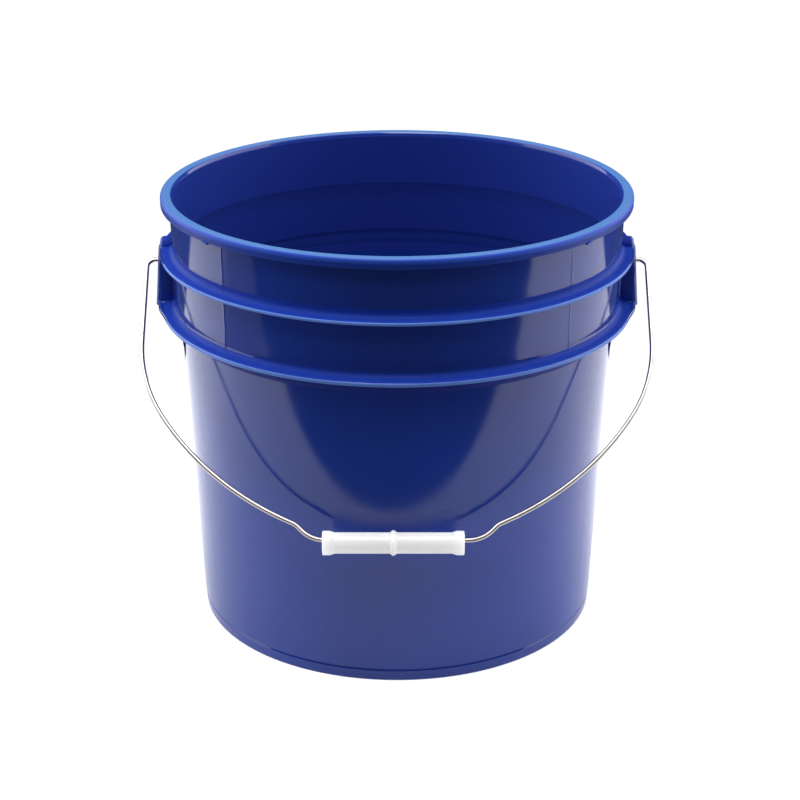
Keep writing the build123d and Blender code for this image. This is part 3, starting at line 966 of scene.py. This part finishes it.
def blue_plastic():
    """Glossy polyethylene, clouded and scuffed and duller on the flanges, with painted light and shade:
    paler on the edges and tops, darker inside the neck.
    """
    n = Nodes("blue_plastic")
    place = n.add("ShaderNodeSeparateXYZ", links={"Vector": n.place()})
    x, y, z = (place.outputs[axis] for axis in "XYZ")
    radius = from_axis(n, x, y)

    dull = flange_tops(n, radius, z)
    ridge = flange_edges(n, x, radius, z)
    face = rim_face(n, radius, z)
    crest = rim_crest(n, radius, z)
    shoulder = n.maths("MULTIPLY", face, n.maths("GREATER_THAN", z, SHOULDER_START * MM))
    neck = neck_inside(n, radius, z)
    shelf = shelf_inside(n, neck, z)
    shade = n.maths("MAXIMUM", step_shade(n, neck, z), n.maths("MULTIPLY", shelf, SHELF_SHADE))
    low_down = n.spread(z, *(height * MM for height in SCUFF_HEIGHTS))
    scuffs = n.spread(n.noise(scale=200.0, detail=4.0, rough=0.7), *SCUFF_RANGE)
    worn = n.maths("MULTIPLY", low_down, scuffs)
    soft = n.maths("MAXIMUM", n.maths("MAXIMUM", ridge, crest), n.maths("MAXIMUM", neck, face))

    cloud = n.spread(n.noise(scale=9.0, detail=2.0), *CLOUD_RANGE)
    colour = n.mix(cloud, BLUE_DEEP, BLUE_BRIGHT)
    colour = n.mix(n.maths("MULTIPLY", worn, WORN_COLOUR), colour, BLUE_SCUFFED)
    # Painted light and shade: the inner neck, the flanges' tops and the rim's upper face are painted for
    # the light that falls on them, the crest and the flanges' edges paler for light through the thin
    # plastic, and the shade under the neck's step and over the shelf darker.
    zones = (
        (neck, BLUE_INSIDE),
        (shade, BLUE_SHADE),
        (dull, BLUE_LIT_TOP),
        (shoulder, BLUE_RIM),
        (crest, BLUE_EDGE),
        (ridge, BLUE_RIDGE),
    )
    for zone, zone_colour in zones:
        colour = n.mix(zone, colour, zone_colour)

    haze = n.noise(scale=26.0, detail=3.0, rough=0.6)
    roughness = n.spread(haze, *HAZE_RANGE, *GLOSS_ROUGHNESS)
    for zone, more in ((worn, WORN_ROUGHNESS), (dull, DULL_ROUGHNESS), (soft, SOFT_ROUGHNESS)):
        roughness = n.maths("ADD", roughness, n.maths("MULTIPLY", zone, more))
    shine = FULL_SHINE
    for zone, loss in ((dull, DULL_SHINE_LOSS), (soft, SOFT_SHINE_LOSS), (shelf, SHELF_SHINE_LOSS)):
        shine = n.maths("SUBTRACT", shine, n.maths("MULTIPLY", zone, loss))

    ripples = n.bump(n.noise(scale=16.0, detail=1.0), strength=0.12, distance=0.0012)
    grain = n.noise(scale=900.0, detail=2.0)
    normal = n.bump(grain, strength=0.05, distance=0.0001, normal=ripples)
    return n.finish(
        {"Base Color": colour, "Roughness": roughness, "Normal": normal, "Specular IOR Level": shine},
        {"IOR": PLASTIC_IOR},
    )


def steel_wire():
    """Drawn steel with a thin zinc coat: fine streaks along the wire and dull spots."""
    n = Nodes("bail_wire")
    streaks = n.noise(scale=700.0, detail=3.0, rough=0.6, vector=n.stretched((0.15, 1.0, 1.0)))
    spots = n.noise(scale=120.0, detail=3.0, rough=0.6)
    colour = n.mix(n.spread(spots, *SPOT_RANGE), STEEL_BRIGHT, STEEL_DULL)
    roughness = n.spread(streaks, *HAZE_RANGE, *STEEL_ROUGHNESS)
    normal = n.bump(streaks, strength=0.15, distance=0.00005)
    return n.finish(
        {"Base Color": colour, "Roughness": roughness, "Normal": normal},
        {"Metallic": 1.0},
    )


def white_plastic():
    """Satin, slightly translucent polyethylene; its small glow stands for light that passes through."""
    n = Nodes("white_plastic")
    cloud = n.spread(n.noise(scale=60.0, detail=2.0), *CLOUD_RANGE)
    colour = n.mix(cloud, WHITE_PALE, WHITE_GREY)
    haze = n.noise(scale=90.0, detail=3.0)
    roughness = n.spread(haze, *HAZE_RANGE, *WHITE_ROUGHNESS)
    normal = n.bump(n.noise(scale=1400.0, detail=2.0), strength=0.08, distance=0.00008)
    return n.finish(
        {"Base Color": colour, "Roughness": roughness, "Normal": normal},
        {
            "IOR": PLASTIC_IOR,
            "Subsurface Weight": 0.9,
            "Subsurface Radius": (1.0, 1.0, 1.0),
            "Subsurface Scale": 0.014,
            "Emission Color": PLAIN_WHITE,
            "Emission Strength": 0.14,
        },
    )


# ---------------------------------------------------------------- stage, lights and camera

def sheet(name, low, high, height, material):
    """Flat rectangle in the stage."""
    mesh = bpy.data.meshes.new(name)
    corners = [(x, y, height) for x, y in (low, (high[0], low[1]), high, (low[0], high[1]))]
    mesh.from_pydata(corners, [], [(0, 1, 2, 3)])
    mesh.materials.append(material)
    piece = new_object(name, mesh)
    return piece


def hidden_card(name, low, high, height, material):
    """Card that shows only in reflections and shade, never to a camera."""
    card = sheet(name, low, high, height, material)
    card.visible_camera = False
    card.visible_shadow = False
    return card


def curtain(name, measures, material):
    """Hidden card that stands across the Y axis."""
    half_width, height, y = measures
    card = hidden_card(name, (-half_width, 0.0), (half_width, height), 0.0, material)
    card.rotation_euler = (radians(90), 0, 0)
    card.location = (0, y, 0)


def floor_cover(name, low, high, material):
    """White sheet over the cards, seen only by a camera, so that the floor looks plain from every side."""
    cover = sheet(name, low, high, COVER_HEIGHT, material)
    cover.visible_diffuse = False
    cover.visible_glossy = False
    cover.visible_transmission = False
    cover.visible_volume_scatter = False
    cover.visible_shadow = False


def card_plastic(name, colour):
    """Dull, even colour for a card."""
    return Nodes(name).finish({}, {"Base Color": colour, "Roughness": FLOOR_ROUGHNESS})


def cover_white():
    """Even white that needs no light."""
    return Nodes("cover_white").finish(
        {},
        {"Base Color": (0, 0, 0, 1), "Emission Color": PLAIN_WHITE, "Emission Strength": 1.0},
    )


def lit_floor(name, middle, ends):
    """Pale, faintly lit surface; middle is its grey at a point in front of the pail, and ends beyond; a
    greyer middle is painted shade.
    """
    n = Nodes(name)
    place = n.add("ShaderNodeSeparateXYZ", links={"Vector": n.place()})
    x = n.maths("MULTIPLY", place.outputs["X"], SHADE_SQUASH_X)
    y = n.maths("SUBTRACT", place.outputs["Y"], SHADE_CENTRE_Y)
    share = n.spread(from_axis(n, x, y), SHADE_START, SHADE_END)
    colour = n.mix(share, (middle, middle, middle, 1), (ends, ends, ends, 1))
    return n.finish(
        {"Base Color": colour},
        {"Roughness": FLOOR_ROUGHNESS, "Emission Color": PLAIN_WHITE, "Emission Strength": FLOOR_GLOW},
    )


def make_stage():
    """Plain pale floor, with hidden cards that the glossy pail reflects, as in a photo studio."""
    black = card_plastic("card_black", CARD_BLACK)
    grey = card_plastic("card_grey", CARD_GREY)
    white = cover_white()
    far = FLOOR_REACH
    sheet("floor", (-far, -far), (far, far), FLOOR_HEIGHT, lit_floor("floor_white", FLOOR_PALE, FLOOR_PALE))

    dark = hidden_card("dark_floor", *DARK_CARD, 0.0, black)
    dark.location = (0, DARK_CARD_EDGE_Y, CARD_HEIGHT)
    dark.rotation_euler = (0, 0, radians(DARK_CARD_TURN))
    # the hidden card in front of the pail is painted greyer near its middle, a painted shadow on the floor
    # there that only reflections see
    pale = lit_floor("card_pale", FLOOR_SHADED, FLOOR_PALE)
    hidden_card("front_floor", *PALE_CARD, PALE_CARD_HEIGHT, pale)
    hidden_card("grey_floor", *GREY_CARD, CARD_HEIGHT, grey)
    hidden_card("back_floor", *BACK_CARD, CARD_HEIGHT, black)
    curtain("dark_curtain", FRONT_CURTAIN, black)
    curtain("back_curtain", BACK_CURTAIN, black)

    floor_cover("front_cover", (-far, -far), (far, COVER_FRONT_Y), white)
    floor_cover("side_cover", (-far, COVER_FRONT_Y), (COVER_SIDE_X, far), white)
    floor_cover("back_cover", (COVER_SIDE_X, COVER_BACK_Y), (far, far), white)


def softbox(name, place, target, size, power):
    """Rectangular light that faces a point."""
    light = bpy.data.lights.new(name, "AREA")
    light.shape = "RECTANGLE"
    light.size, light.size_y = size
    light.energy = power
    box = bpy.data.objects.new(name, light)
    box.location = place
    box.rotation_euler = (Vector(target) - Vector(place)).to_track_quat("-Z", "Y").to_euler()
    bpy.context.scene.collection.objects.link(box)


def make_light():
    """White surroundings and one soft light over the space in front of the pail."""
    world = bpy.data.worlds.new("studio")
    world.use_nodes = True
    background = world.node_tree.nodes["Background"]
    background.inputs["Color"].default_value = PLAIN_WHITE
    background.inputs["Strength"].default_value = WORLD_STRENGTH
    bpy.context.scene.world = world
    softbox("top_light", SOFTBOX_PLACE, SOFTBOX_TARGET, SOFTBOX_SIZE, SOFTBOX_POWER)


def make_camera():
    """Looks down on the front of the bucket, from more than a metre away and well above its rim."""
    camera = bpy.data.cameras.new("camera")
    camera.lens = CAMERA_LENS
    camera.sensor_width = CAMERA_SENSOR
    camera.shift_x = CAMERA_SHIFT
    eye = bpy.data.objects.new("camera", camera)
    eye.location = (0, -CAMERA_DISTANCE, CAMERA_HEIGHT)
    eye.rotation_euler = (radians(90 - CAMERA_DOWN), 0, 0)
    bpy.context.scene.collection.objects.link(eye)
    bpy.context.scene.camera = eye


def place_piece(piece, material, body, node):
    """Gives a piece its material and its body, and hides the CAD node that it stands for."""
    piece.data.materials.clear()
    piece.data.materials.append(material)
    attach(piece, body)
    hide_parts(node)


make_camera()
place_piece(make_pail(), blue_plastic(), "pail", "pail_body")
place_piece(make_bail(), steel_wire(), "bail", "wire_bail")
place_piece(make_grip(), white_plastic(), "grip", "hand_grip")
make_stage()
make_light()
bpy.context.scene.view_settings.view_transform = "Standard"
